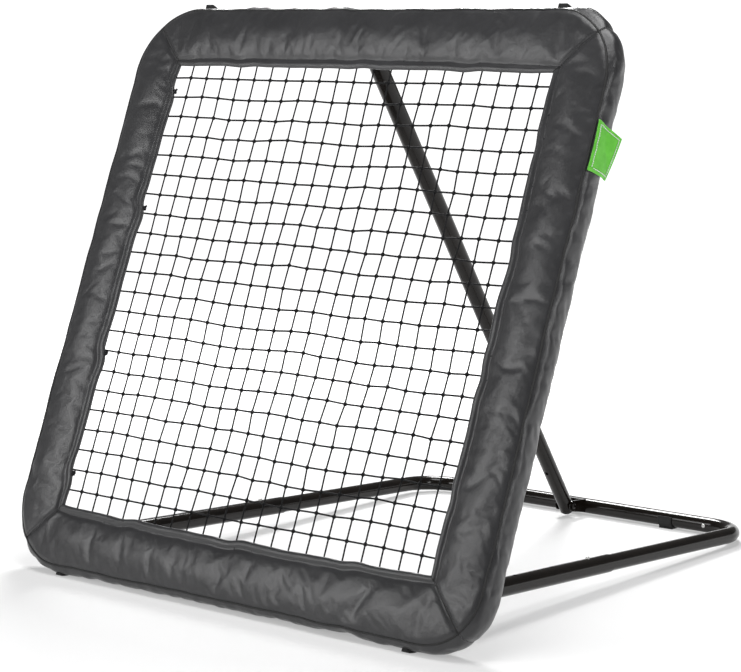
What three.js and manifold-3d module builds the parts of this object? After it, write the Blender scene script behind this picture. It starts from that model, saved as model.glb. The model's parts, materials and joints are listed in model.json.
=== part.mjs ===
// Pitch back rebounder: a padded square net frame that leans back on a folding, telescoping base.
// Units are millimetres, +Z is up, and the net faces -Y. The origin is the bottom centre of the box.
import * as THREE from 'three';
import { mergeVertices } from 'three/addons/utils/BufferGeometryUtils.js';
import Module from 'manifold-3d';

const wasm = await Module();
wasm.setup();

// ---------- Driving dimensions ----------

// Net panel. Its local axes are x across, y into its depth and z up along its face.
const PANEL_SIZE = 1240;
const PANEL_LEAN_DEG = 21.72;
const PANEL_EDGE_HEIGHT = 22.84;
const COVER_CORNER_RADIUS = 147;
const COVER_DEPTH = 60;
const COVER_FACE = 7;
const COVER_SKIN = 3;
const COVER_BACK_FLAP = 46;
const COVER_BACK_ROUNDING = 8;
const OPENING_HALF_WIDTH = 494;
const OPENING_LOW = 130;
const OPENING_HIGH = 1112;
const MITRE_GAP = 0.35;

// Panel frame tube, which runs inside the covers.
const FRAME_INSET = 25;
const FRAME_DEPTH = 30;
const FRAME_BEND = 118;
const ELBOW_LEG = 50;
const SPIGOT_LENGTH = 45;

// Round tubes, as outer radius and wall.
const WIDE_RADIUS = 19;
const SLIM_RADIUS = 17.3;
const WALL = 1.4;
const SPIGOT_CLEARANCE = 0.3;
const TUBE_SIDES = 24;
const BEND_SIDES = 20;

// Net.
const NET_PITCH = 90;
const NET_CORD = 3;
const NET_DEPTH = 10.5;
const NET_BORDER_OUT = 14;
const NET_BORDER_WIDTH = 10;
const NET_BORDER_THICK = 4;
const LACING_RADIUS = 1.6;
const LACING_DEPTH = 9.3;
const LACING_LOW = 3;
const LACING_HIGH = 66;
const LACING_STEP = 46;

// Pivots and base.
const LEG_X = 452;
const PIVOT_RISE = 42;
const REAR_TUBE_Y = 1242;
const REAR_TUBE_Z = 20.6;
const LEG_TUBE_LENGTH = 638;
const SLIDER_START = 540;
const REAR_BEND = 90;
const REAR_JOINT_X = 332;
const LEG_HOLES = [315, 440, 565];
const REAR_SCREW_X = 349;
const REAR_FOOT_X = 246;
const REAR_FOOT_WIDTH = 35;

// Prop, measured along its axis from its top pivot.
const PROP_REACH = 60;
const PROP_LOW_PIVOT_Z = 29;
const PROP_UPPER_LENGTH = 945;
const PROP_LOWER_START = 720;
const PROP_HOLES = [629, 690, 760];
const PROP_SPARE_HOLE = 1177;
const BUTTON_TIP = 23.2;
const PROP_TAIL = 8;

// Hardware.
const EAR_GAP = 20.2;
const EAR_THICK = 2.5;
const REAR_EAR_GAP = 18.9;
const BOLT_RADIUS = 4;
const FIT = 0.3;
const BUSH_RADIUS = 6.5;
const BUTTON_RADIUS = 4.2;
const FOOT_X = 468;
const FOOT_RADIUS = 15.5;

// Label tab on the right-hand side of the cover.
const LABEL_LOW = 924;
const LABEL_HIGH = 1022;
const LABEL_THICK = 1.2;

// ---------- Materials ----------

function finish(name, color, roughness, metalness) {
  const material = new THREE.MeshStandardMaterial({ color, roughness, metalness });
  material.name = name;
  return material;
}

const LOOKS = {
  cover: () => finish('cover_fabric', 0x46464a, 0.7, 0),
  net: () => finish('net_cord', 0x18181a, 0.8, 0),
  elastic: () => finish('elastic_cord', 0x202022, 0.8, 0),
  tube: () => finish('tube_paint', 0x1b1513, 0.3, 0.2),
  steel: () => finish('zinc_steel', 0xa8a8a6, 0.35, 0.9),
  rubber: () => finish('foot_rubber', 0x141414, 0.8, 0),
  plastic: () => finish('black_plastic', 0x17171a, 0.5, 0),
  label: () => finish('label_green', 0x3fae49, 0.7, 0),
};

// ---------- Solid helpers ----------

function solidOf(geometry) {
  const bare = geometry.clone();
  bare.deleteAttribute('normal');
  bare.deleteAttribute('uv');
  const merged = mergeVertices(bare, 1e-4);
  const points = merged.attributes.position.array;
  const faces = new Uint32Array(merged.index.array);
  if (signedVolume(points, faces) < 0) {
    for (let i = 0; i < faces.length; i += 3) {
      [faces[i + 1], faces[i + 2]] = [faces[i + 2], faces[i + 1]];
    }
  }
  const mesh = new wasm.Mesh({ numProp: 3, vertProperties: new Float32Array(points), triVerts: faces });
  mesh.merge();
  return new wasm.Manifold(mesh);
}

function signedVolume(points, faces) {
  let total = 0;
  const corner = [new THREE.Vector3(), new THREE.Vector3(), new THREE.Vector3()];
  for (let i = 0; i < faces.length; i += 3) {
    corner.forEach((c, k) => c.fromArray(points, 3 * faces[i + k]));
    total += corner[0].dot(corner[1].clone().cross(corner[2])) / 6;
  }
  return total;
}

function geometryOf(solid) {
  const mesh = solid.getMesh();
  const points = new Float32Array(mesh.numVert * 3);
  for (let i = 0; i < mesh.numVert; i += 1) {
    for (let k = 0; k < 3; k += 1) {
      points[3 * i + k] = mesh.vertProperties[mesh.numProp * i + k];
    }
  }
  const geometry = new THREE.BufferGeometry();
  geometry.setAttribute('position', new THREE.BufferAttribute(points, 3));
  geometry.setIndex(new THREE.BufferAttribute(new Uint32Array(mesh.triVerts), 1));
  geometry.computeVertexNormals();
  return geometry;
}

function block(x0, x1, y0, y1, z0, z1) {
  const geometry = new THREE.BoxGeometry(x1 - x0, y1 - y0, z1 - z0);
  geometry.translate((x0 + x1) / 2, (y0 + y1) / 2, (z0 + z1) / 2);
  return solidOf(geometry);
}

// A solid cylinder from low to high along an axis, through the point (a, b) of the other two axes.
function rod(axis, radius, low, high, a = 0, b = 0, sides = 20) {
  const geometry = new THREE.CylinderGeometry(radius, radius, high - low, sides);
  geometry.translate(0, (low + high) / 2, 0);
  if (axis === 'x') {
    geometry.rotateZ(-Math.PI / 2);
    geometry.translate(0, a, b);
  } else if (axis === 'y') {
    geometry.translate(a, 0, b);
  } else {
    geometry.rotateX(Math.PI / 2);
    geometry.translate(a, b, 0);
  }
  return solidOf(geometry);
}

function pipe(axis, outer, inner, low, high, a = 0, b = 0, sides = TUBE_SIDES) {
  const shell = rod(axis, outer, low, high, a, b, sides);
  return shell.subtract(rod(axis, inner, low - 1, high + 1, a, b, sides));
}

// A side profile of (y, z) points, extruded along x.
function profileX(points, x0, x1) {
  const shape = new THREE.Shape(points.map(([y, z]) => new THREE.Vector2(y, z)));
  const geometry = new THREE.ExtrudeGeometry(shape, { depth: x1 - x0, bevelEnabled: false });
  geometry.applyMatrix4(new THREE.Matrix4().set(0, 0, 1, x0, 1, 0, 0, 0, 0, 1, 0, 0, 0, 0, 0, 1));
  return solidOf(geometry);
}

// A face profile of (x, z) points, extruded along y.
function profileY(points, y0, y1) {
  const shape = new THREE.Shape(points.map(([x, z]) => new THREE.Vector2(x, z)));
  const geometry = new THREE.ExtrudeGeometry(shape, { depth: y1 - y0, bevelEnabled: false });
  geometry.applyMatrix4(new THREE.Matrix4().set(1, 0, 0, 0, 0, 0, 1, y0, 0, 1, 0, 0, 0, 0, 0, 1));
  return solidOf(geometry);
}

// A round cord or tube along a flat path: each ring stands square to the path.
function sweep(path, binormal, radius, sides, closed = false) {
  const count = path.length;
  const points = [];
  path.forEach((here, i) => {
    const before = path[closed ? (i + count - 1) % count : Math.max(i - 1, 0)];
    const after = path[closed ? (i + 1) % count : Math.min(i + 1, count - 1)];
    const arrive = here.clone().sub(before).normalize();
    const leave = after.clone().sub(here).normalize();
    const along = arrive.clone().add(leave).normalize();
    const stretch = 1 / Math.max(along.dot(i === 0 && !closed ? leave : arrive), 0.3);
    const side = new THREE.Vector3().crossVectors(binormal, along).multiplyScalar(stretch);
    for (let k = 0; k < sides; k += 1) {
      const angle = (2 * Math.PI * k) / sides;
      const point = here.clone().addScaledVector(side, radius * Math.cos(angle));
      point.addScaledVector(binormal, radius * Math.sin(angle));
      points.push(...point.toArray());
    }
  });
  const faces = [];
  const spans = closed ? count : count - 1;
  for (let i = 0; i < spans; i += 1) {
    for (let k = 0; k < sides; k += 1) {
      const a = i * sides + k;
      const b = i * sides + ((k + 1) % sides);
      const c = ((i + 1) % count) * sides + k;
      const d = ((i + 1) % count) * sides + ((k + 1) % sides);
      faces.push(a, b, c, b, d, c);
    }
  }
  if (!closed) {
    for (let k = 1; k < sides - 1; k += 1) {
      faces.push(0, k + 1, k);
      const last = (count - 1) * sides;
      faces.push(last, last + k, last + k + 1);
    }
  }
  const geometry = new THREE.BufferGeometry();
  geometry.setAttribute('position', new THREE.Float32BufferAttribute(points, 3));
  geometry.setIndex(faces);
  return solidOf(geometry);
}

// A stack of outlines of equal point count, joined into one closed solid along y.
function loft(levels) {
  const points = [];
  const faces = [];
  const size = levels[0].outline.length;
  levels.forEach(({ y, outline }) => outline.forEach(([x, z]) => points.push(x, y, z)));
  for (let i = 0; i < levels.length - 1; i += 1) {
    for (let k = 0; k < size; k += 1) {
      const a = i * size + k;
      const b = i * size + ((k + 1) % size);
      faces.push(a, b, a + size, b, b + size, a + size);
    }
  }
  const cap = THREE.ShapeUtils.triangulateShape(levels[0].outline.map(([x, z]) => new THREE.Vector2(x, z)), []);
  const top = (levels.length - 1) * size;
  cap.forEach(([a, b, c]) => faces.push(a, c, b, top + a, top + b, top + c));
  const geometry = new THREE.BufferGeometry();
  geometry.setAttribute('position', new THREE.Float32BufferAttribute(points, 3));
  geometry.setIndex(faces);
  return solidOf(geometry);
}

function union(solids) {
  return solids.reduce((whole, piece) => whole.add(piece));
}

function addPart(group, name, look, solid) {
  const mesh = new THREE.Mesh(geometryOf(solid), look());
  mesh.name = name;
  group.add(mesh);
  return mesh;
}

// ---------- Frames of reference ----------

const lean = THREE.MathUtils.degToRad(PANEL_LEAN_DEG);

function panelToWorld(x, depth, along) {
  const y = along * Math.sin(lean) + depth * Math.cos(lean);
  const z = PANEL_EDGE_HEIGHT + along * Math.cos(lean) - depth * Math.sin(lean);
  return new THREE.Vector3(x, y, z);
}

const lowPivotAlong = FRAME_INSET + PIVOT_RISE;
const highPivotAlong = PANEL_SIZE - FRAME_INSET - PIVOT_RISE;
const lowPivot = panelToWorld(0, FRAME_DEPTH, lowPivotAlong);
const highPivot = panelToWorld(0, FRAME_DEPTH, highPivotAlong);
const propFoot = new THREE.Vector3(0, REAR_TUBE_Y - PROP_REACH, PROP_LOW_PIVOT_Z);

const legRun = new THREE.Vector3(0, REAR_TUBE_Y, REAR_TUBE_Z).sub(lowPivot);
const legReach = legRun.length();
const propRun = propFoot.clone().sub(highPivot);
const propLength = propRun.length();

const assembly = new THREE.Group();
assembly.name = 'pitch_back_rebounder';

const panel = new THREE.Group();
panel.name = 'panel';
panel.rotation.x = -lean;
panel.position.z = PANEL_EDGE_HEIGHT;
assembly.add(panel);

// Base frame: local y runs back along the legs from their pivots.
const base = new THREE.Group();
base.name = 'base';
base.rotation.x = Math.atan2(legRun.z, legRun.y);
base.position.copy(lowPivot);
assembly.add(base);

// Prop frame: local y runs down the prop from its top pivot.
const prop = new THREE.Group();
prop.name = 'prop';
prop.rotation.x = Math.atan2(propRun.z, propRun.y);
prop.position.copy(highPivot);
assembly.add(prop);

// ---------- Panel: covers ----------

function coverOutline(inset) {
  const half = PANEL_SIZE / 2 - inset;
  const radius = COVER_CORNER_RADIUS - inset;
  const steps = 12;
  const outline = [];
  const corners = [[1, -1, -90], [1, 1, 0], [-1, 1, 90], [-1, -1, 180]];
  for (const [sx, sz, start] of corners) {
    for (let i = 0; i <= steps; i += 1) {
      const angle = THREE.MathUtils.degToRad(start + (90 * i) / steps);
      const x = sx * (half - radius) + radius * Math.cos(angle);
      const z = PANEL_SIZE / 2 + sz * (half - radius) + radius * Math.sin(angle);
      outline.push([x, z]);
    }
  }
  return outline;
}

function coverRing() {
  const outer = loft([
    { y: 0, outline: coverOutline(2) },
    { y: 2, outline: coverOutline(0) },
    { y: COVER_DEPTH - COVER_BACK_ROUNDING, outline: coverOutline(0) },
    { y: COVER_DEPTH, outline: coverOutline(COVER_BACK_ROUNDING) },
  ]);
  const cavity = loft([
    { y: COVER_FACE, outline: coverOutline(COVER_SKIN) },
    { y: COVER_DEPTH - COVER_BACK_ROUNDING - 1, outline: coverOutline(COVER_SKIN) },
    { y: COVER_DEPTH - COVER_SKIN, outline: coverOutline(COVER_SKIN + COVER_BACK_ROUNDING - 1) },
  ]);
  const backOpening = loft([
    { y: COVER_FACE + 10, outline: coverOutline(COVER_BACK_FLAP) },
    { y: COVER_DEPTH + 1, outline: coverOutline(COVER_BACK_FLAP) },
  ]);
  const frontOpening = block(
    -OPENING_HALF_WIDTH, OPENING_HALF_WIDTH, -1, COVER_FACE + 1, OPENING_LOW, OPENING_HIGH,
  );
  return outer.subtract(cavity).subtract(backOpening).subtract(frontOpening);
}

// The four mitre lines run from the opening's corners to the panel's corners.
const mitres = [[1, -1], [1, 1], [-1, 1], [-1, -1]].map(([sx, sz]) => {
  const inner = new THREE.Vector2(sx * OPENING_HALF_WIDTH, sz < 0 ? OPENING_LOW : OPENING_HIGH);
  const outer = new THREE.Vector2(sx * (PANEL_SIZE / 2), sz < 0 ? 0 : PANEL_SIZE);
  const far = outer.clone().sub(inner).multiplyScalar(1.5).add(inner);
  const near = inner.clone().sub(outer).multiplyScalar(0.3).add(inner);
  return { near, far };
});

function coverSide(ring, from, to) {
  const wedge = [from.near, from.far, to.far, to.near].map((p) => [p.x, p.y]);
  let side = ring.intersect(profileY(wedge, -5, COVER_DEPTH + 5));
  for (const { near, far } of [from, to]) {
    const across = far.clone().sub(near).normalize();
    const shift = new THREE.Vector2(-across.y, across.x).multiplyScalar(MITRE_GAP / 2);
    const slot = [near.clone().sub(shift), far.clone().sub(shift), far.clone().add(shift), near.clone().add(shift)];
    side = side.subtract(profileY(slot.map((p) => [p.x, p.y]), -6, COVER_DEPTH + 6));
  }
  return side;
}

function footWindow(x, low) {
  const half = FOOT_RADIUS + 0.8;
  const z0 = low ? -5 : PANEL_SIZE - 6;
  const z1 = low ? 6 : PANEL_SIZE + 5;
  return block(x - half, x + half, FRAME_DEPTH - half, FRAME_DEPTH + half, z0, z1);
}

const ring = coverRing();
const [lowRight, highRight, highLeft, lowLeft] = mitres;
const coverBottom = coverSide(ring, lowLeft, lowRight)
  .subtract(footWindow(-FOOT_X, true))
  .subtract(footWindow(FOOT_X, true));
const coverTop = coverSide(ring, highRight, highLeft)
  .subtract(footWindow(-FOOT_X, false))
  .subtract(footWindow(FOOT_X, false));
const labelSeat = block(
  PANEL_SIZE / 2 - LABEL_THICK - FIT, PANEL_SIZE / 2 + 1, 3, COVER_DEPTH - 10, LABEL_LOW - FIT, LABEL_HIGH + FIT,
);
addPart(panel, 'cover_bottom', LOOKS.cover, coverBottom);
addPart(panel, 'cover_top', LOOKS.cover, coverTop);
addPart(panel, 'cover_left', LOOKS.cover, coverSide(ring, highLeft, lowLeft));
addPart(panel, 'cover_right', LOOKS.cover, coverSide(ring, lowRight, highRight).subtract(labelSeat));
addPart(panel, 'label_tab', LOOKS.label, block(
  PANEL_SIZE / 2 - LABEL_THICK, PANEL_SIZE / 2, 3 + FIT, COVER_DEPTH - 10 - FIT, LABEL_LOW, LABEL_HIGH,
));

// ---------- Panel: net and its lacing ----------

function netSolid() {
  const half = OPENING_HALF_WIDTH + NET_BORDER_OUT;
  const low = OPENING_LOW - NET_BORDER_OUT;
  const high = OPENING_HIGH + NET_BORDER_OUT;
  const y0 = NET_DEPTH - NET_BORDER_THICK / 2;
  const y1 = NET_DEPTH + NET_BORDER_THICK / 2;
  const rim = NET_BORDER_WIDTH;
  const border = block(-half, half, y0, y1, low, high)
    .subtract(block(-half + rim, half - rim, y0 - 1, y1 + 1, low + rim, high - rim));
  const cords = [];
  const cordLow = NET_DEPTH - NET_CORD / 2;
  const cordHigh = NET_DEPTH + NET_CORD / 2;
  const middle = (OPENING_LOW + OPENING_HIGH) / 2;
  const across = Math.floor((half - rim) / NET_PITCH);
  for (let i = -across; i <= across; i += 1) {
    const x = i * NET_PITCH;
    cords.push(block(x - NET_CORD / 2, x + NET_CORD / 2, cordLow, cordHigh, low + 5, high - 5));
  }
  const rows = Math.floor((middle - low - rim) / NET_PITCH);
  for (let i = -rows; i <= rows; i += 1) {
    const z = middle + i * NET_PITCH;
    cords.push(block(-half + 5, half - 5, cordLow, cordHigh, z - NET_CORD / 2, z + NET_CORD / 2));
  }
  return union([border, ...cords]);
}

addPart(panel, 'net', LOOKS.net, netSolid());

// Elastic lacing runs to and fro between the net's border and the frame tube.
function lacing(start, end, place) {
  const count = Math.round((end - start) / LACING_STEP);
  const path = [];
  for (let i = 0; i <= count; i += 1) {
    path.push(place(start + ((end - start) * i) / count, i % 2 ? LACING_HIGH : LACING_LOW));
  }
  return sweep(path, new THREE.Vector3(0, 1, 0), LACING_RADIUS, 6);
}

const borderHalf = OPENING_HALF_WIDTH + NET_BORDER_OUT;
const borderLow = OPENING_LOW - NET_BORDER_OUT;
const borderHigh = OPENING_HIGH + NET_BORDER_OUT;
addPart(panel, 'net_lacing_right', LOOKS.elastic, lacing(borderLow + 40, borderHigh - 40,
  (along, out) => new THREE.Vector3(borderHalf + out, LACING_DEPTH, along)));
addPart(panel, 'net_lacing_left', LOOKS.elastic, lacing(borderLow + 40, borderHigh - 40,
  (along, out) => new THREE.Vector3(-borderHalf - out, LACING_DEPTH, along)));
addPart(panel, 'net_lacing_bottom', LOOKS.elastic, lacing(-borderHalf + 40, borderHalf - 40,
  (along, out) => new THREE.Vector3(along, LACING_DEPTH, borderLow - out)));
addPart(panel, 'net_lacing_top', LOOKS.elastic, lacing(-borderHalf + 40, borderHalf - 40,
  (along, out) => new THREE.Vector3(along, LACING_DEPTH, borderHigh + out)));

// ---------- Panel: tube frame ----------

const frameHalf = PANEL_SIZE / 2 - FRAME_INSET;
const frameMiddle = PANEL_SIZE / 2;
const elbowEnd = frameHalf - FRAME_BEND - ELBOW_LEG;
const spigotOuter = WIDE_RADIUS - WALL - SPIGOT_CLEARANCE;

// A straight tube whose swaged ends slip into the elbows.
function swagedTube(axis, half, outer, spigot, spigotLength, a, b) {
  const body = pipe(axis, outer, spigot - WALL, -half, half, a, b);
  const tongue = pipe(axis, spigot, spigot - WALL, -half - spigotLength, half + spigotLength, a, b);
  return body.add(tongue);
}

function panelTube(axis, sign) {
  const offset = sign * frameHalf;
  if (axis === 'x') {
    return swagedTube('x', elbowEnd - FIT, WIDE_RADIUS, spigotOuter, SPIGOT_LENGTH, FRAME_DEPTH, frameMiddle + offset);
  }
  return swagedTube('z', elbowEnd - FIT, WIDE_RADIUS, spigotOuter, SPIGOT_LENGTH, offset, FRAME_DEPTH)
    .translate([0, 0, frameMiddle]);
}

function elbow(sx, sz) {
  const path = [];
  const steps = 8;
  const cx = sx * (frameHalf - FRAME_BEND);
  const cz = frameMiddle + sz * (frameHalf - FRAME_BEND);
  path.push(new THREE.Vector3(sx * elbowEnd, FRAME_DEPTH, frameMiddle + sz * frameHalf));
  for (let i = 0; i <= steps; i += 1) {
    const angle = (Math.PI / 2) * (1 - i / steps);
    const x = cx + sx * FRAME_BEND * Math.cos(angle);
    const z = cz + sz * FRAME_BEND * Math.sin(angle);
    path.push(new THREE.Vector3(x, FRAME_DEPTH, z));
  }
  path.push(new THREE.Vector3(sx * frameHalf, FRAME_DEPTH, frameMiddle + sz * elbowEnd));
  const depth = new THREE.Vector3(0, 1, 0);
  const shell = sweep(path, depth, WIDE_RADIUS, BEND_SIDES);
  const first = path[0].clone().sub(new THREE.Vector3(sx, 0, 0));
  const last = path[path.length - 1].clone().sub(new THREE.Vector3(0, 0, sz));
  return shell.subtract(sweep([first, ...path, last], depth, WIDE_RADIUS - WALL, BEND_SIDES));
}

addPart(panel, 'frame_tube_bottom', LOOKS.tube, panelTube('x', -1));
addPart(panel, 'frame_tube_top', LOOKS.tube, panelTube('x', 1));
addPart(panel, 'frame_tube_left', LOOKS.tube, panelTube('z', -1));
addPart(panel, 'frame_tube_right', LOOKS.tube, panelTube('z', 1));
addPart(panel, 'frame_elbow_bottom_left', LOOKS.tube, elbow(-1, -1));
addPart(panel, 'frame_elbow_bottom_right', LOOKS.tube, elbow(1, -1));
addPart(panel, 'frame_elbow_top_left', LOOKS.tube, elbow(-1, 1));
addPart(panel, 'frame_elbow_top_right', LOOKS.tube, elbow(1, 1));

// ---------- Panel: feet and pivot brackets ----------

// Height above the cover's edge, at a given depth, where the floor lies.
function floorAlong(depth) {
  return (depth * Math.sin(lean) - PANEL_EDGE_HEIGHT) / Math.cos(lean);
}

function panelFoot(x, low) {
  const profile = [
    [13, 12], [13.5, floorAlong(13.5) + 4], [18, floorAlong(18)],
    [43, floorAlong(43)], [47, floorAlong(43) + 4], [47, 12],
  ];
  const edge = profile.map(([depth, along]) => [depth, low ? along : PANEL_SIZE - along]);
  const tubeAlong = low ? FRAME_INSET : PANEL_SIZE - FRAME_INSET;
  const half = FOOT_RADIUS + 5;
  const [from, to] = low ? [-25, 15] : [PANEL_SIZE - 15, PANEL_SIZE + 25];
  return profileX(edge, x - half, x + half)
    .intersect(rod('z', FOOT_RADIUS, from, to, x, FRAME_DEPTH, TUBE_SIDES))
    .subtract(rod('x', WIDE_RADIUS + 0.4, x - half, x + half, FRAME_DEPTH, tubeAlong, TUBE_SIDES));
}

for (const [side, x] of [['left', -FOOT_X], ['right', FOOT_X]]) {
  addPart(panel, `foot_bottom_${side}`, LOOKS.rubber, panelFoot(x, true));
  addPart(panel, `foot_top_${side}`, LOOKS.rubber, panelFoot(x, false));
}

// A saddle on the frame tube with two ears that hold a pivot bolt.
function pivotBracket(x, low) {
  const sign = low ? 1 : -1;
  const tubeAlong = low ? FRAME_INSET : PANEL_SIZE - FRAME_INSET;
  const pivot = tubeAlong + sign * PIVOT_RISE;
  const half = EAR_GAP + EAR_THICK;
  const web = tubeAlong + sign * (WIDE_RADIUS + FIT + EAR_THICK);
  const points = [[FRAME_DEPTH - 15, tubeAlong + sign * 8]];
  for (let i = 0; i <= 12; i += 1) {
    const angle = Math.PI * (1 - i / 12);
    points.push([FRAME_DEPTH + 14 * Math.cos(angle), pivot + sign * 14 * Math.sin(angle)]);
  }
  points.push([FRAME_DEPTH + 15, tubeAlong + sign * 8]);
  const gap = low
    ? block(x - EAR_GAP, x + EAR_GAP, 0, COVER_DEPTH, web, web + 60)
    : block(x - EAR_GAP, x + EAR_GAP, 0, COVER_DEPTH, web - 60, web);
  return profileX(points, x - half, x + half)
    .subtract(gap)
    .subtract(rod('x', WIDE_RADIUS + 0.4, x - half - 5, x + half + 5, FRAME_DEPTH, tubeAlong, TUBE_SIDES))
    .subtract(rod('x', BOLT_RADIUS + FIT, x - half - 5, x + half + 5, FRAME_DEPTH, pivot));
}

addPart(panel, 'leg_bracket_left', LOOKS.tube, pivotBracket(-LEG_X, true));
addPart(panel, 'leg_bracket_right', LOOKS.tube, pivotBracket(LEG_X, true));
addPart(panel, 'prop_bracket', LOOKS.tube, pivotBracket(0, false));

// ---------- Pivot hardware, about an x axis through a group's origin ----------

const earOut = EAR_GAP + EAR_THICK;

function pivotBolt(x) {
  const headAt = x - earOut - FIT;
  return union([
    rod('x', BOLT_RADIUS, headAt - 2, x + earOut + 8),
    rod('x', 7, headAt - 4, headAt),
    rod('x', 5.2, headAt - 5.5, headAt - 3),
  ]);
}

function lockNut(x) {
  const start = x + earOut + FIT;
  return rod('x', 7, start, start + 6, 0, 0, 6).subtract(rod('x', BOLT_RADIUS + 0.25, start - 1, start + 7));
}

function bush(x) {
  return pipe('x', BUSH_RADIUS, BOLT_RADIUS + FIT, x - EAR_GAP + FIT, x + EAR_GAP - FIT, 0, 0, 24);
}

// A tube along y that starts with a rounded end at the pivot and has a cross hole for the bush.
function pivotTube(x, length) {
  const start = rod('x', WIDE_RADIUS - 0.1, x - 30, x + 30, 0, 0, 40)
    .add(block(x - 30, x + 30, 0, length + 1, -30, 30));
  return pipe('y', WIDE_RADIUS, WIDE_RADIUS - WALL, -25, length, x, 0)
    .intersect(start)
    .subtract(rod('x', BUSH_RADIUS + FIT, x - 30, x + 30));
}

// ---------- Base ----------

for (const [side, x] of [['left', -LEG_X], ['right', LEG_X]]) {
  let leg = pivotTube(x, LEG_TUBE_LENGTH);
  for (const y of LEG_HOLES) {
    leg = leg.subtract(rod('z', BUTTON_RADIUS + 0.4, 0, 30, x, y));
  }
  addPart(base, `leg_bolt_${side}`, LOOKS.steel, pivotBolt(x));
  addPart(base, `leg_nut_${side}`, LOOKS.steel, lockNut(x));
  addPart(base, `leg_bush_${side}`, LOOKS.plastic, bush(x));
  addPart(base, `leg_tube_${side}`, LOOKS.tube, leg);
}

// The slider runs inside the leg tube and bends into the rear of the base.
function rearCorner(sign) {
  const x = sign * LEG_X;
  const cx = x - sign * REAR_BEND;
  const cy = legReach - REAR_BEND;
  const path = [new THREE.Vector3(x, SLIDER_START, 0)];
  const steps = 9;
  for (let i = 0; i <= steps; i += 1) {
    const angle = (Math.PI / 2) * (i / steps);
    path.push(new THREE.Vector3(cx + sign * REAR_BEND * Math.cos(angle), cy + REAR_BEND * Math.sin(angle), 0));
  }
  path.push(new THREE.Vector3(sign * REAR_JOINT_X, legReach, 0));
  const up = new THREE.Vector3(0, 0, 1);
  const first = path[0].clone().sub(new THREE.Vector3(0, 1, 0));
  const last = path[path.length - 1].clone().sub(new THREE.Vector3(sign, 0, 0));
  return sweep(path, up, SLIM_RADIUS, BEND_SIDES)
    .subtract(sweep([first, ...path, last], up, SLIM_RADIUS - WALL, BEND_SIDES))
    .subtract(rod('z', BUTTON_RADIUS + 0.4, 0, 30, x, LEG_HOLES[2]))
    .subtract(rod('y', 2.9, legReach - 30, legReach, sign * REAR_SCREW_X, 0));
}

// A spring button: its wide foot stays inside the inner tube, and its tip stands through both tubes.
function snapButton(axis, sign, a, b) {
  const sides = 20;
  const span = (from, to) => (sign > 0 ? [from, to] : [-to, -from]);
  return union([
    rod(axis, 7, ...span(9, 11.5), a, b, sides),
    rod(axis, BUTTON_RADIUS, ...span(9, BUTTON_TIP - 1), a, b, sides),
    rod(axis, BUTTON_RADIUS - 1, ...span(9, BUTTON_TIP), a, b, sides),
  ]);
}

addPart(base, 'rear_corner_left', LOOKS.tube, rearCorner(-1));
addPart(base, 'rear_corner_right', LOOKS.tube, rearCorner(1));
const rearSpigot = SLIM_RADIUS - WALL - SPIGOT_CLEARANCE;
let rearTube = swagedTube('x', REAR_JOINT_X - FIT, SLIM_RADIUS, rearSpigot, 28, legReach, 0);
for (const x of [-REAR_SCREW_X, REAR_SCREW_X]) {
  rearTube = rearTube.subtract(rod('y', 2.9, legReach - 30, legReach, x, 0));
}
addPart(base, 'rear_cross_tube', LOOKS.tube, rearTube);
for (const [side, sign] of [['left', -1], ['right', 1]]) {
  const x = sign * REAR_SCREW_X;
  addPart(base, `rear_screw_${side}`, LOOKS.steel, union([
    rod('y', 2.5, legReach - SLIM_RADIUS - 1, legReach - 12, x, 0, 12),
    rod('y', 4.6, legReach - SLIM_RADIUS - 2.6, legReach - SLIM_RADIUS - FIT, x, 0, 16),
  ]));
  addPart(base, `leg_button_${side}`, LOOKS.steel, snapButton('z', 1, sign * LEG_X, LEG_HOLES[2]));
}

// Clip feet under the rear tube, flat on the floor.
function rearFoot(x) {
  const half = REAR_FOOT_WIDTH / 2;
  const gapLine = REAR_TUBE_Z + 8;
  return rod('x', SLIM_RADIUS + 2.8, x - half, x + half, REAR_TUBE_Y, REAR_TUBE_Z, TUBE_SIDES)
    .subtract(block(x - 40, x + 40, REAR_TUBE_Y - 40, REAR_TUBE_Y + 40, gapLine, 60))
    .add(block(x - half, x + half, REAR_TUBE_Y - 13, REAR_TUBE_Y + 13, 0, 14))
    .subtract(block(x - 40, x + 40, REAR_TUBE_Y - 40, REAR_TUBE_Y + 40, -20, 0))
    .subtract(rod('x', SLIM_RADIUS + FIT, x - half - 5, x + half + 5, REAR_TUBE_Y, REAR_TUBE_Z, TUBE_SIDES));
}

addPart(assembly, 'rear_foot_left', LOOKS.rubber, rearFoot(-REAR_FOOT_X));
addPart(assembly, 'rear_foot_right', LOOKS.rubber, rearFoot(REAR_FOOT_X));

// Clevis on the rear tube. Its two stub bolts end just short of the prop, so the prop can leave it.
function rearClevis() {
  const half = REAR_EAR_GAP + EAR_THICK;
  const web = REAR_TUBE_Y - SLIM_RADIUS - FIT - EAR_THICK;
  const points = [];
  for (let i = 0; i <= 12; i += 1) {
    const angle = Math.PI * (0.5 + i / 12);
    points.push([propFoot.y + 13 * Math.cos(angle), propFoot.z + 13 * Math.sin(angle)]);
  }
  points.push([REAR_TUBE_Y - 8, 6], [REAR_TUBE_Y - 8, 38]);
  return profileX(points, -half, half)
    .subtract(block(-REAR_EAR_GAP, REAR_EAR_GAP, 1100, web, -10, 80))
    .subtract(rod('x', SLIM_RADIUS + FIT, -50, 50, REAR_TUBE_Y, REAR_TUBE_Z, TUBE_SIDES))
    .subtract(rod('x', BOLT_RADIUS + FIT, -50, 50, propFoot.y, propFoot.z));
}

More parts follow.
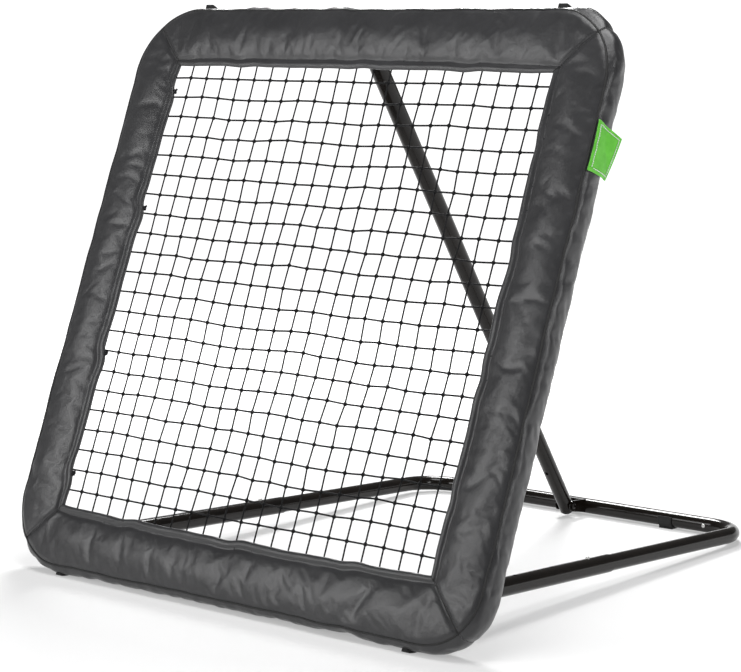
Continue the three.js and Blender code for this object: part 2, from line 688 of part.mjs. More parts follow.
function stubBolt(sign) {
  const out = REAR_EAR_GAP + EAR_THICK + FIT;
  const span = (a, b) => (sign > 0 ? [a, b] : [-b, -a]);
  return union([
    rod('x', BOLT_RADIUS, ...span(REAR_EAR_GAP - 0.2, out + 2), propFoot.y, propFoot.z),
    rod('x', 7, ...span(out, out + 3.6), propFoot.y, propFoot.z),
    rod('x', 5.2, ...span(out + 3, out + 5), propFoot.y, propFoot.z),
  ]);
}

addPart(assembly, 'rear_clevis', LOOKS.tube, rearClevis());
addPart(assembly, 'rear_stub_bolt_left', LOOKS.steel, stubBolt(-1));
addPart(assembly, 'rear_stub_bolt_right', LOOKS.steel, stubBolt(1));

// ---------- Prop ----------

let propUpper = pivotTube(0, PROP_UPPER_LENGTH);
for (const y of PROP_HOLES) {
  propUpper = propUpper.subtract(rod('x', BUTTON_RADIUS + 0.4, -30, 0, y, 0));
}
addPart(prop, 'prop_bolt', LOOKS.steel, pivotBolt(0));
addPart(prop, 'prop_nut', LOOKS.steel, lockNut(0));
addPart(prop, 'prop_bush', LOOKS.plastic, bush(0));
addPart(prop, 'prop_upper_tube', LOOKS.tube, propUpper);

const propTip = propLength + PROP_TAIL;
const propLower = pipe('y', SLIM_RADIUS, SLIM_RADIUS - WALL, PROP_LOWER_START, propTip)
  .subtract(rod('x', BUTTON_RADIUS + 0.4, -30, 0, PROP_HOLES[2], 0))
  .subtract(rod('z', BUTTON_RADIUS + 0.4, -30, 0, 0, PROP_SPARE_HOLE))
  .subtract(rod('x', BOLT_RADIUS + FIT, -30, 30, propLength, 0));
addPart(prop, 'prop_lower_tube', LOOKS.tube, propLower);
addPart(prop, 'prop_button', LOOKS.steel, snapButton('x', -1, PROP_HOLES[2], 0));

// A rounded plug closes the prop's lower end.
function endPlug() {
  const dome = new THREE.LatheGeometry([
    [0, 0], [15.5, 0], [15.5, 5], [17.2, 5], [16.4, 9.5], [13.2, 14.5], [7.5, 17.6], [0, 18.4],
  ].map(([r, y]) => new THREE.Vector2(r, y)), 24);
  dome.translate(0, propTip - 5 + FIT, 0);
  return solidOf(dome);
}

addPart(prop, 'prop_end_plug', LOOKS.plastic, endPlug());

// ---------- Place the whole with its origin at the bottom centre ----------

assembly.updateMatrixWorld(true);
const bounds = new THREE.Box3();
assembly.traverse((part) => {
  if (part.isMesh) {
    bounds.expandByObject(part, true);
  }
});
assembly.position.y = -(bounds.min.y + bounds.max.y) / 2;
assembly.updateMatrixWorld(true);

const group = assembly;
export default group;
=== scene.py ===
"""Looks of the pitch back rebounder: padded covers, net, lacing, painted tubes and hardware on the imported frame."""
import json
import math

import bpy
import numpy as np
from mathutils import Matrix, Vector, noise


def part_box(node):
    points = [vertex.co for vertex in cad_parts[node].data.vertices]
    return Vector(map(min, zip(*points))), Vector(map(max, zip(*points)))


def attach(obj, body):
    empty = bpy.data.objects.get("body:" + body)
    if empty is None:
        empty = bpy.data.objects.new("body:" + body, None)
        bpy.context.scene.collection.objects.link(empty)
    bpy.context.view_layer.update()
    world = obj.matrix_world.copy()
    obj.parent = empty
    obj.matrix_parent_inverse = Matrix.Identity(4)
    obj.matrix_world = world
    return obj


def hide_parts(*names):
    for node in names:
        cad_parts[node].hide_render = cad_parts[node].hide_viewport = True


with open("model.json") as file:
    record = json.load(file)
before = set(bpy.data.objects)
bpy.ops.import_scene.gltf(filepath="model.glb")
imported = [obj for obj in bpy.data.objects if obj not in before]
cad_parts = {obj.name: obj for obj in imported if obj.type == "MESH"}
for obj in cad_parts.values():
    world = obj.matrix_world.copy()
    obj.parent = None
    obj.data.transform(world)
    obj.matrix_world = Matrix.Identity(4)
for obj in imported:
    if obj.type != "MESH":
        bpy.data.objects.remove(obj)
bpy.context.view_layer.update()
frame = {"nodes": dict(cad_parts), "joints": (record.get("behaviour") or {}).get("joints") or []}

MM = 0.001
SCENE = bpy.context.scene
JOINTS = {j["name"]: j for j in frame["joints"]}

# ---------------------------------------------------------------- frames of reference
LOW_PIVOT = Vector(JOINTS["fold"]["pos_m"])
HIGH_PIVOT = Vector(JOINTS["prop_swing"]["pos_m"])
ACROSS = Vector((1, 0, 0))
UP = (HIGH_PIVOT - LOW_PIVOT).normalized()
DEPTH = UP.cross(ACROSS)
LEG_WAY = -Vector(JOINTS["leg_adjust"]["axis"]).normalized()
PROP_WAY = -Vector(JOINTS["prop_adjust"]["axis"]).normalized()

# Panel sizes, in mm: the net panel's own axes are x across, n into its depth and v up its face.
PANEL = 1240.0
HALF = PANEL / 2
CORNER = 147.0
OPEN_X = 494.0
OPEN_LOW = 130.0
OPEN_HIGH = 1112.0
BACK = 60.0
TUBE_INSET = 25.0
TUBE_DEPTH = 30.0
PIVOT_RISE = 42.0
WIDE = 19.0
SLIM = 17.3
WALL = 1.4


def panel(x, n, v):
    """A point of the panel, given in mm, as metres in the row frame."""
    return (
        LOW_PIVOT
        + ACROSS * (x * MM)
        + DEPTH * ((n - TUBE_DEPTH) * MM)
        + UP * ((v - TUBE_INSET - PIVOT_RISE) * MM)
    )


def panel_points(local):
    """The same for an array of (x, n, v) rows."""
    local = np.asarray(local, float) * MM
    base = np.array(LOW_PIVOT)
    turned = np.outer(local[:, 0], ACROSS)
    turned = turned + np.outer(local[:, 1] - TUBE_DEPTH * MM, DEPTH)
    turned = turned + np.outer(local[:, 2] - (TUBE_INSET + PIVOT_RISE) * MM, UP)
    return turned + base


# ---------------------------------------------------------------- camera, floor and light
def make_camera():
    """The photograph's viewing angle, on an image taken as 741 x 672."""
    azimuth, elevation, distance = math.radians(40.64), math.radians(8.68), 4.3876
    target = LOW_PIVOT + Vector((0.3129, -0.0526, 0.4243))
    away = Vector((math.sin(azimuth) * math.cos(elevation), -math.cos(azimuth) * math.cos(elevation), math.sin(elevation)))
    data = bpy.data.cameras.new("camera")
    data.sensor_width = 36.0
    data.lens = 115.15
    data.shift_x = 0.0437
    data.shift_y = 0.0562
    data.clip_start = 0.05
    data.clip_end = 60.0
    camera = bpy.data.objects.new("camera", data)
    SCENE.collection.objects.link(camera)
    camera.location = target + away * distance
    camera.rotation_mode = "QUATERNION"
    camera.rotation_quaternion = (-away).to_track_quat("-Z", "Y")
    SCENE.camera = camera


def add_area(name, place, target, size, power, colour=(1, 1, 1)):
    data = bpy.data.lights.new(name, "AREA")
    data.shape = "RECTANGLE"
    data.size, data.size_y = size
    data.energy = power
    data.color = colour
    lamp = bpy.data.objects.new(name, data)
    SCENE.collection.objects.link(lamp)
    lamp.location = place
    lamp.rotation_mode = "QUATERNION"
    lamp.rotation_quaternion = (Vector(target) - Vector(place)).to_track_quat("-Z", "Y")
    return lamp


def make_studio():
    world = bpy.data.worlds.new("studio")
    SCENE.world = world
    world.use_nodes = True
    background = world.node_tree.nodes["Background"]
    background.inputs["Color"].default_value = (1.0, 1.0, 1.0, 1)
    background.inputs["Strength"].default_value = 0.15
    SCENE.view_settings.view_transform = "Standard"
    material = bpy.data.materials.new("studio_floor")
    material.use_nodes = True
    tree = material.node_tree
    shader = tree.nodes["Principled BSDF"]
    shader.inputs["Base Color"].default_value = (0.5, 0.5, 0.5, 1)
    shader.inputs["Roughness"].default_value = 0.9
    shader.inputs["Specular IOR Level"].default_value = 0.0
    shader.inputs["Emission Color"].default_value = (1.0, 1.0, 1.0, 1)
    place = tree.nodes.new("ShaderNodeTexCoord")
    length = tree.nodes.new("ShaderNodeVectorMath")
    length.operation = "LENGTH"
    glow = tree.nodes.new("ShaderNodeMapRange")
    glow.inputs["From Min"].default_value = 0.9
    glow.inputs["From Max"].default_value = 3.2
    glow.inputs["To Min"].default_value = 0.37
    glow.inputs["To Max"].default_value = 1.05
    tree.links.new(place.outputs["Object"], length.inputs[0])
    tree.links.new(length.outputs["Value"], glow.inputs["Value"])
    tree.links.new(glow.outputs["Result"], shader.inputs["Emission Strength"])
    points, faces = [], []
    rows = [(-24.0, 0.0), (6.0, 0.0)] + [
        (6.0 + 3.0 * math.sin(math.radians(a)), 3.0 - 3.0 * math.cos(math.radians(a))) for a in range(8, 65, 8)
    ]
    for y, z in rows:
        points += [(-20.0, y, z - 0.0004), (20.0, y, z - 0.0004)]
    for i in range(len(rows) - 1):
        faces.append((2 * i, 2 * i + 1, 2 * i + 3, 2 * i + 2))
    mesh = bpy.data.meshes.new("studio_floor")
    mesh.from_pydata(points, [], faces)
    mesh.polygons.foreach_set("use_smooth", [True] * len(faces))
    mesh.materials.append(material)
    floor = bpy.data.objects.new("studio_floor", mesh)
    SCENE.collection.objects.link(floor)
    add_area("key", (-2.0, 2.3, 3.4), (0.1, 0.0, 0.2), (1.3, 1.3), 230)
    add_area("overhead", (0.6, -0.6, 4.0), (0.2, -0.2, 0.0), (1.8, 1.8), 85)
    add_area("front", (-2.6, -4.6, 2.2), (0.0, -0.3, 0.5), (2.2, 1.8), 90)
    add_area("side", (4.2, -1.4, 1.9), (0.2, 0.2, 0.3), (0.7, 2.2), 45)


make_camera()
make_studio()


# ---------------------------------------------------------------- materials
class Nodes:
    """A thin wrapper that builds one material's node tree."""

    def __init__(self, name):
        self.material = bpy.data.materials.new(name)
        self.material.use_nodes = True
        self.tree = self.material.node_tree
        self.shader = self.tree.nodes["Principled BSDF"]

    def add(self, kind, **values):
        node = self.tree.nodes.new(kind)
        for key, value in values.items():
            if key in node.inputs:
                node.inputs[key].default_value = value
            else:
                setattr(node, key, value)
        return node

    def link(self, output, target):
        self.tree.links.new(output, target)

    def set(self, **values):
        for key, value in values.items():
            self.shader.inputs[key.replace("_", " ")].default_value = value

    def position(self, scale=(1, 1, 1)):
        coordinates = self.add("ShaderNodeTexCoord")
        mapping = self.add("ShaderNodeMapping")
        mapping.inputs["Scale"].default_value = scale
        self.link(coordinates.outputs["Object"], mapping.inputs["Vector"])
        return mapping.outputs["Vector"]

    def uv(self, scale=(1, 1, 1)):
        coordinates = self.add("ShaderNodeTexCoord")
        mapping = self.add("ShaderNodeMapping")
        mapping.inputs["Scale"].default_value = scale
        self.link(coordinates.outputs["UV"], mapping.inputs["Vector"])
        return mapping.outputs["Vector"]

    def noise(self, vector, scale, detail=3.0, roughness=0.55):
        node = self.add("ShaderNodeTexNoise")
        node.inputs["Scale"].default_value = scale
        node.inputs["Detail"].default_value = detail
        node.inputs["Roughness"].default_value = roughness
        self.link(vector, node.inputs["Vector"])
        return node.outputs["Fac"]

    def ramp(self, value, stops):
        node = self.add("ShaderNodeValToRGB")
        elements = node.color_ramp.elements
        while len(elements) < len(stops):
            elements.new(0.5)
        for element, (place, colour) in zip(elements, stops):
            element.position = place
            element.color = (*colour, 1)
        self.link(value, node.inputs["Fac"])
        return node.outputs["Color"]

    def spread(self, value, low, high):
        node = self.add("ShaderNodeMapRange")
        node.inputs["To Min"].default_value = low
        node.inputs["To Max"].default_value = high
        self.link(value, node.inputs["Value"])
        return node.outputs["Result"]

    def maths(self, kind, a, b=None):
        node = self.add("ShaderNodeMath", operation=kind)
        for socket, value in zip(node.inputs, (a, b)):
            if value is None:
                continue
            if isinstance(value, (int, float)):
                socket.default_value = value
            else:
                self.link(value, socket)
        return node.outputs["Value"]

    def bump(self, height, strength, distance, below=None):
        node = self.add("ShaderNodeBump")
        node.inputs["Strength"].default_value = strength
        node.inputs["Distance"].default_value = distance
        self.link(height, node.inputs["Height"])
        if below is not None:
            self.link(below, node.inputs["Normal"])
        return node.outputs["Normal"]

    def weave(self, vector, pitch):
        """Over-and-under threads at a pitch in metres."""
        split = self.add("ShaderNodeSeparateXYZ")
        self.link(vector, split.inputs["Vector"])
        turn = math.pi / pitch
        wave_a = self.maths("SINE", self.maths("MULTIPLY", split.outputs["X"], turn))
        wave_b = self.maths("SINE", self.maths("MULTIPLY", split.outputs["Y"], turn))
        return self.maths("ADD", self.maths("MULTIPLY", wave_a, wave_b), 1.0)

    def colour(self, socket):
        self.link(socket, self.shader.inputs["Base Color"])

    def roughness(self, socket):
        self.link(socket, self.shader.inputs["Roughness"])

    def normal(self, socket):
        self.link(socket, self.shader.inputs["Normal"])


def cover_material(name, dark, light):
    n = Nodes(name)
    n.set(Specular_IOR_Level=0.6, Sheen_Weight=0.12, Sheen_Roughness=0.4)
    place = n.position()
    wide = n.noise(place, 9.0, 4.0)
    n.colour(n.ramp(wide, [(0.3, dark), (0.72, light)]))
    n.roughness(n.spread(n.noise(place, 30.0), 0.30, 0.41))
    soft = n.bump(n.noise(place, 38.0, 3.0), 0.35, 0.003)
    n.normal(n.bump(n.weave(n.uv(), 0.0011), 0.25, 0.0002, soft))
    return n.material


def cord_material(name, colour, pitch):
    n = Nodes(name)
    n.set(Roughness=0.75, Specular_IOR_Level=0.2)
    place = n.position()
    grain = n.noise(place, 700.0, 2.0)
    light = tuple(c * 2.2 for c in colour)
    n.colour(n.ramp(grain, [(0.3, colour), (0.75, light)]))
    n.normal(n.bump(n.noise(place, pitch, 2.0), 0.6, 0.0005))
    return n.material


def paint_material():
    n = Nodes("tube_paint")
    n.set(Metallic=0.0, Specular_IOR_Level=0.26, Coat_Weight=0.05, Coat_Roughness=0.06)
    place = n.position()
    n.colour(n.ramp(n.noise(place, 14.0), [(0.3, (0.0048, 0.0037, 0.0030)), (0.7, (0.0088, 0.0066, 0.0052))]))
    n.roughness(n.spread(n.noise(place, 60.0), 0.13, 0.20))
    n.normal(n.bump(n.noise(place, 900.0, 2.0), 0.08, 0.0002))
    return n.material


def steel_material():
    n = Nodes("zinc_steel")
    n.set(Metallic=1.0)
    place = n.position()
    n.colour(n.ramp(n.noise(place, 120.0), [(0.3, (0.42, 0.42, 0.41)), (0.7, (0.62, 0.62, 0.60))]))
    n.roughness(n.spread(n.noise(place, 400.0), 0.25, 0.42))
    n.normal(n.bump(n.noise(place, 1500.0), 0.1, 0.0001))
    return n.material


def rubber_material(name, grey):
    n = Nodes(name)
    n.set(Specular_IOR_Level=0.35)
    place = n.position()
    n.colour(n.ramp(n.noise(place, 40.0), [(0.3, (grey,) * 3), (0.7, (grey * 1.8,) * 3)]))
    n.roughness(n.spread(n.noise(place, 200.0), 0.62, 0.8))
    n.normal(n.bump(n.noise(place, 1800.0), 0.2, 0.0002))
    return n.material


def label_material():
    n = Nodes("label_green")
    n.set(Roughness=0.62, Specular_IOR_Level=0.4, Sheen_Weight=0.2)
    place = n.position()
    n.colour(n.ramp(n.noise(place, 60.0), [(0.3, (0.085, 0.43, 0.02)), (0.7, (0.12, 0.53, 0.035))]))
    n.normal(n.bump(n.weave(n.uv(), 0.0009), 0.35, 0.00015))
    return n.material


def webbing_material():
    n = Nodes("webbing")
    n.set(Roughness=0.8, Specular_IOR_Level=0.3)
    place = n.position()
    n.colour(n.ramp(n.noise(place, 200.0), [(0.3, (0.010, 0.010, 0.011)), (0.7, (0.024, 0.024, 0.026))]))
    n.normal(n.bump(n.weave(n.uv(), 0.0016), 0.6, 0.0003))
    return n.material


def thread_material(name, grey):
    n = Nodes(name)
    n.set(Roughness=0.6)
    place = n.position()
    n.colour(n.ramp(n.noise(place, 900.0), [(0.3, (grey,) * 3), (0.7, (grey * 1.6,) * 3)]))
    n.normal(n.bump(n.noise(place, 2500.0), 0.3, 0.0001))
    return n.material


FABRIC = cover_material("cover_fabric", (0.017, 0.017, 0.0185), (0.027, 0.027, 0.029))
LINING = cover_material("cover_lining", (0.018, 0.018, 0.019), (0.026, 0.026, 0.028))
NET_CORD = cord_material("net_cord", (0.0045, 0.0045, 0.005), 500.0)
ELASTIC = cord_material("elastic_cord", (0.009, 0.009, 0.010), 900.0)
PAINT = paint_material()
STEEL = steel_material()
RUBBER = rubber_material("foot_rubber", 0.009)
PLASTIC = rubber_material("black_plastic", 0.011)
CLIP = rubber_material("clip_plastic", 0.008)
LABEL = label_material()
WEBBING = webbing_material()
THREAD = thread_material("thread", 0.008)
# Dark material for the seam piping, and also for the hem groove and mitre crease lines, which are painted shade.
PIPING_AND_CREASE_SHADE = thread_material("piping", 0.007)
LABEL_THREAD = thread_material("label_thread", 0.55)


# ---------------------------------------------------------------- mesh helpers
def mesh_object(name, points, faces, material, smooth=True):
    mesh = bpy.data.meshes.new(name)
    mesh.from_pydata([tuple(p) for p in points], [], [tuple(f) for f in faces])
    mesh.validate()
    mesh.materials.append(material)
    if smooth:
        mesh.polygons.foreach_set("use_smooth", [True] * len(mesh.polygons))
    piece = bpy.data.objects.new(name, mesh)
    SCENE.collection.objects.link(piece)
    return piece


def finish_piece(piece, body, replaced=()):
    if replaced:
        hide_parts(*replaced)
    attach(piece, body)
    return piece


def modifier(piece, kind, **values):
    added = piece.modifiers.new(kind.lower(), kind)
    for key, value in values.items():
        setattr(added, key, value)
    return added


def apply_modifiers(piece):
    bpy.context.view_layer.update()
    graph = bpy.context.evaluated_depsgraph_get()
    mesh = bpy.data.meshes.new_from_object(piece.evaluated_get(graph))
    old = piece.data
    piece.modifiers.clear()
    piece.data = mesh
    mesh.name = piece.name
    bpy.data.meshes.remove(old)
    return piece


def sweep(points, radius, sides=12, closed=False, start=None):
    """Vertices and faces of a round tube along a path, with frames carried along without twist."""
    path = np.array([tuple(p) for p in points], float)
    count = len(path)
    if closed:
        ways = np.roll(path, -1, 0) - np.roll(path, 1, 0)
    else:
        ways = np.gradient(path, axis=0)
    ways /= np.linalg.norm(ways, axis=1)[:, None]
    side = np.array(start if start is not None else Vector(ways[0]).orthogonal(), float)
    radii = np.broadcast_to(np.asarray(radius, float), (count,))
    angles = np.linspace(0, 2 * math.pi, sides, endpoint=False)
    verts, faces = [], []
    for i in range(count):
        side = side - ways[i] * side.dot(ways[i])
        side /= np.linalg.norm(side)
        other = np.cross(ways[i], side)
        ring = path[i] + radii[i] * (np.outer(np.cos(angles), side) + np.outer(np.sin(angles), other))
        verts.extend(ring)
    spans = count if closed else count - 1
    for i in range(spans):
        a, b = i * sides, ((i + 1) % count) * sides
        for k in range(sides):
            m = (k + 1) % sides
            faces.append((a + k, a + m, b + m, b + k))
    if not closed:
        faces.append(tuple(range(sides))[::-1])
        faces.append(tuple((count - 1) * sides + k for k in range(sides)))
    return verts, faces


def smooth_path(points, times):
    """Corner cutting, which rounds a path off."""
    points = np.array(points)
    for _ in range(times):
        a = points[:-1] * 0.75 + points[1:] * 0.25
        b = points[:-1] * 0.25 + points[1:] * 0.75
        mixed = np.empty((len(a) * 2, 3))
        mixed[0::2], mixed[1::2] = a, b
        points = np.vstack([points[:1], mixed, points[-1:]])
    return points


def join_parts(parts):
    """Several (vertices, faces) lists as one."""
    verts, faces = [], []
    for part_verts, part_faces in parts:
        offset = len(verts)
        verts.extend(part_verts)
        faces.extend(tuple(index + offset for index in face) for face in part_faces)
    return verts, faces


def revolve(profile, place, way, sides=32):
    """A closed turned shape: profile is (radius, height) pairs in mm, from axis to axis."""
    way = Vector(way).normalized()
    side = way.orthogonal().normalized()
    other = way.cross(side)
    verts, faces = [], []
    rows = []
    for radius, height in profile:
        centre = Vector(place) + way * (height * MM)
        if radius < 1e-6:
            rows.append([len(verts)])
            verts.append(centre)
            continue
        rows.append(list(range(len(verts), len(verts) + sides)))
        for k in range(sides):
            angle = 2 * math.pi * k / sides
            verts.append(centre + side * (radius * MM * math.cos(angle)) + other * (radius * MM * math.sin(angle)))
    for low, high in zip(rows, rows[1:]):
        for k in range(sides):
            m = (k + 1) % sides
            if len(low) == 1 and len(high) == 1:
                break
            if len(low) == 1:
                faces.append((low[0], high[m], high[k]))
            elif len(high) == 1:
                faces.append((low[k], low[m], high[0]))
            else:
                faces.append((low[k], low[m], high[m], high[k]))
    return verts, faces


def smooth_noise(value, seed, scale):
    return noise.noise(Vector((value * scale, seed * 7.31, seed * 1.7)))


# ---------------------------------------------------------------- padded covers
def corner_radius(sx, sv):
    """The stuffing fills the low right-hand corner out more than the other three."""
    return 116.0 if (sx, sv) == (1, -1) else CORNER


def mitre_angle(sx, sv):
    """Where the mitre line crosses the outline's corner arc, as an angle about the arc's centre."""
    radius = corner_radius(sx, sv)
    centre = Vector(corner_centre(sx, sv))
    inner = Vector((sx * OPEN_X, OPEN_LOW if sv < 0 else OPEN_HIGH))
    outer = Vector((sx * HALF, 0.0 if sv < 0 else PANEL))
    way = (outer - inner).normalized()
    offset = inner - centre
    half_b = offset.dot(way)
    along = -half_b + math.sqrt(half_b**2 - offset.length_squared + radius**2)
    point = inner + way * along - centre
    return math.atan2(point.y, point.x)


SIDES = {
    # name: (first corner, last corner, outward direction)
    "bottom": ((-1, -1), (1, -1), (0, -1)),
    "right": ((1, -1), (1, 1), (1, 0)),
    "top": ((1, 1), (-1, 1), (0, 1)),
    "left": ((-1, 1), (-1, -1), (-1, 0)),
}


def corner_centre(sx, sv):
    reach = HALF - corner_radius(sx, sv)
    return np.array([sx * reach, HALF + sv * reach])


def outer_path(side, count):
    """Points and outward normals along the panel's outline from one mitre to the next."""
    first, last, out = SIDES[side]
    radius_a, radius_b = corner_radius(*first), corner_radius(*last)
    straight = math.atan2(out[1], out[0])
    start, end = mitre_angle(*first), mitre_angle(*last)
    while start > straight:
        start -= 2 * math.pi
    while end < straight:
        end += 2 * math.pi
    arc_a, arc_b = (straight - start) * radius_a, (end - straight) * radius_b
    out = np.array(out, float)
    from_point = corner_centre(*first) + out * radius_a
    to_point = corner_centre(*last) + out * radius_b
    run = np.linalg.norm(to_point - from_point)
    places = np.linspace(0, arc_a + run + arc_b, count)
    points, normals = [], []
    for s in places:
        if arc_a <= s <= arc_a + run:
            share = (s - arc_a) / run
            points.append(from_point * (1 - share) + to_point * share)
            normals.append(out)
            continue
        if s < arc_a:
            angle, centre, radius = start + s / radius_a, corner_centre(*first), radius_a
        else:
            angle, centre, radius = straight + (s - arc_a - run) / radius_b, corner_centre(*last), radius_b
        normal = np.array([math.cos(angle), math.sin(angle)])
        points.append(centre + radius * normal)
        normals.append(normal)
    return np.array(points), np.array(normals), places


def inner_path(side, count):
    (ax, av), (bx, bv), _ = SIDES[side]
    first = np.array([ax * OPEN_X, OPEN_LOW if av < 0 else OPEN_HIGH])
    last = np.array([bx * OPEN_X, OPEN_LOW if bv < 0 else OPEN_HIGH])
    share = np.linspace(0, 1, count)[:, None]
    return first * (1 - share) + last * share


def edge_wave(places, seed, strength, period):
    """A smooth wander along an edge, which dies out at both ends."""
    length = places[-1]
    fade = np.clip(np.minimum(places, length - places) / 60.0, 0, 1)
    wave = [smooth_noise(s, seed, 1.0 / period) + 0.5 * smooth_noise(s, seed + 3, 2.3 / period) for s in places]
    return np.array(wave) * strength * fade


FLOOR_GAP = 0.003
HEM = 18.0
STEP = 6.0
HEM_WAVE = {"bottom": 3.2, "right": 4.5, "top": 2.5, "left": 3.5}
HEM_SAG = {"bottom": 6.0, "right": -1.0, "top": 0.0, "left": 1.0}
TIES = {"bottom": (0.2, 0.5, 0.8), "right": (0.16, 0.4, 0.64, 0.86), "top": (0.2, 0.5, 0.8), "left": (0.06, 0.33, 0.66, 0.93)}
TIE_PULL = {"bottom": 2.5, "right": 2.2, "top": 1.8, "left": 5.5}
PUFF = {(-1, -1): 3.0, (1, -1): 9.0, (1, 1): 15.0, (-1, 1): -3.0}
PIN = {"fixed": 1.0, "edge": 1.0, "stitch": 0.9, "seam": 0.97, "fold": 0.85, "hem": 0.9, "face": 0.0, "gusset": 0.0, "flap": 0.35}


def tie_kinks(places, side):
    """Each tie drags the hem, so that its edge steps in on one side of the tie and out on the other."""
    total = np.zeros(len(places))
    for share in TIES[side]:
        reach = (places - share * places[-1]) / 26.0
        total += -TIE_PULL[side] * reach * np.exp(-0.5 * reach**2) * 1.4
    return total


def cover_grid(side, seed):
    """The cover's cloth as a grid: rows run across it from the hem to the back flap, columns along it."""
    outer, normals, places = outer_path(side, 2)
    columns = int(places[-1] / STEP) + 1
    outer, normals, places = outer_path(side, columns)
    length = places[-1]
    inner = inner_path(side, columns)
    first, last, out = SIDES[side]
    out = np.array(out, float)
    droop = HEM_SAG[side] * np.sin(math.pi * places / length) ** 0.5
    inner = inner + np.outer(edge_wave(places, seed, HEM_WAVE[side], 170.0) + tie_kinks(places, side) + droop, out)
    seam_slide = edge_wave(places, seed + 11, 3.0, 120.0)
    outer = outer + normals * edge_wave(places, seed + 17, 2.4, 90.0)[:, None]
    width = np.linalg.norm(outer - inner, axis=1)
    ends = np.minimum(places, length - places)
    crease = np.exp(-((ends / 7.0) ** 2))
    puff = PUFF[first] * np.exp(-((places / 85.0) ** 2)) + PUFF[last] * np.exp(-(((length - places) / 85.0) ** 2))
    scallop = np.array([0.85 + 0.55 * smooth_noise(p, seed + 23, 1 / 75.0) + 0.25 * smooth_noise(p, seed + 29, 1 / 26.0) for p in places])
    rows, kinds = [], []

    def add(flat, depth, kind):
        rows.append(np.column_stack([flat[:, 0], np.full(columns, 0.0) + depth, flat[:, 1]]))
        kinds.append(kind)

    across = (outer - inner) / width[:, None]
    hem_depth = 4.0 + edge_wave(places, seed + 5, 2.5, 140.0)
    add(inner + across * 14, hem_depth + 6.0, "fixed")
    add(inner + across * 7, hem_depth + 6.5, "hem")
    add(inner + across * 1.2, hem_depth + 5.0, "hem")
    add(inner, hem_depth + 2.4, "edge")
    add(inner + across * 1.2, hem_depth, "hem")
    add(inner + across * 6.5, hem_depth - 1.6, "hem")
    add(inner + across * 12.5, hem_depth - 1.4, "hem")
    add(inner + across * HEM, hem_depth + 2.8, "stitch")
    face_rows = 18
    for i in range(1, face_rows):
        share = i / face_rows
        reach = HEM + (width - HEM - 1.5) * share
        crown = math.sin(math.pi * share) ** 0.45
        depth = (hem_depth + 0.6) * (1 - share) + 3.0 * share - 6.5 * crown
        wrinkle = fold_height(places, share, seed, side) * crown
        add(inner + across * reach[:, None], depth + crease * 4.0 * crown - wrinkle, "face")
    add(inner + across * (width - 1.5)[:, None], 4.0 + seam_slide * 0.8, "seam")
    gusset_rows = 10
    for i in range(1, gusset_rows):
        share = i / gusset_rows
        tuck = np.array([1.4 * smooth_noise(p + 30.0 * share, seed + 61 + share * 0.5, 1 / 21.0) for p in places])
        swell = (13.0 * scallop + puff + tuck) * (1 - crease) + (6.5 + 0.8 * puff) * crease
        swell = swell * math.sin(math.pi * share) ** 0.35 * (1 - 0.45 * share)
        add(outer + normals * (swell - 1.0)[:, None], 4.0 + (BACK - 6.0) * share, "gusset")
    add(outer - normals * 2.5, BACK - 1.0, "fold")
    add(outer - normals * 8.0, BACK + 0.5, "flap")
    for inset in (14, 21, 28, 35, 42):
        add(outer - normals * inset, BACK + 0.5, "flap")
    add(outer - normals * 46.0, BACK - 0.5, "fixed")
    return np.array(rows), kinds, places


def fold_height(places, share, seed, side):
    """Soft slanting folds over a face, in mm: they fan out from the seam and die towards the middle."""
    slant = {"bottom": -55.0, "right": 25.0, "top": 40.0, "left": -35.0}[side] * share
    heights = []
    for p in places:
        broad = smooth_noise(p + slant, seed + 41 + share * 0.35, 1 / 85.0)
        fine = smooth_noise(p + slant * 1.6, seed + 47 + share * 0.6, 1 / 24.0)
        edge = abs(share - 0.5) * 2
        heights.append(2.0 * broad + (0.3 + 1.2 * edge) * max(fine, -0.25))
    return np.array(heights)


def simulate_cloth(piece, weights, grow, pressure):
    group = piece.vertex_groups.new(name="pin")
    for index, weight in enumerate(weights):
        if weight > 0:
            group.add([index], float(weight), "REPLACE")
    cloth = piece.modifiers.new("cloth", "CLOTH")
    settings = cloth.settings
    settings.quality = 5
    settings.mass = 0.25
    settings.tension_stiffness = 25
    settings.compression_stiffness = 12
    settings.shear_stiffness = 6
    settings.bending_stiffness = 0.08
    settings.air_damping = 3
    settings.vertex_group_mass = "pin"
    settings.pin_stiffness = 1.0
    settings.shrink_min = -grow
    settings.use_pressure = True
    settings.uniform_pressure_force = pressure
    settings.effector_weights.gravity = 0
    cloth.collision_settings.use_collision = False
    for frame_number in range(1, 19):
        SCENE.frame_set(frame_number)
    graph = bpy.context.evaluated_depsgraph_get()
    evaluated = piece.evaluated_get(graph)
    points = np.array([v.co for v in evaluated.data.vertices], float)
    piece.modifiers.remove(cloth)
    SCENE.frame_set(1)
    return points


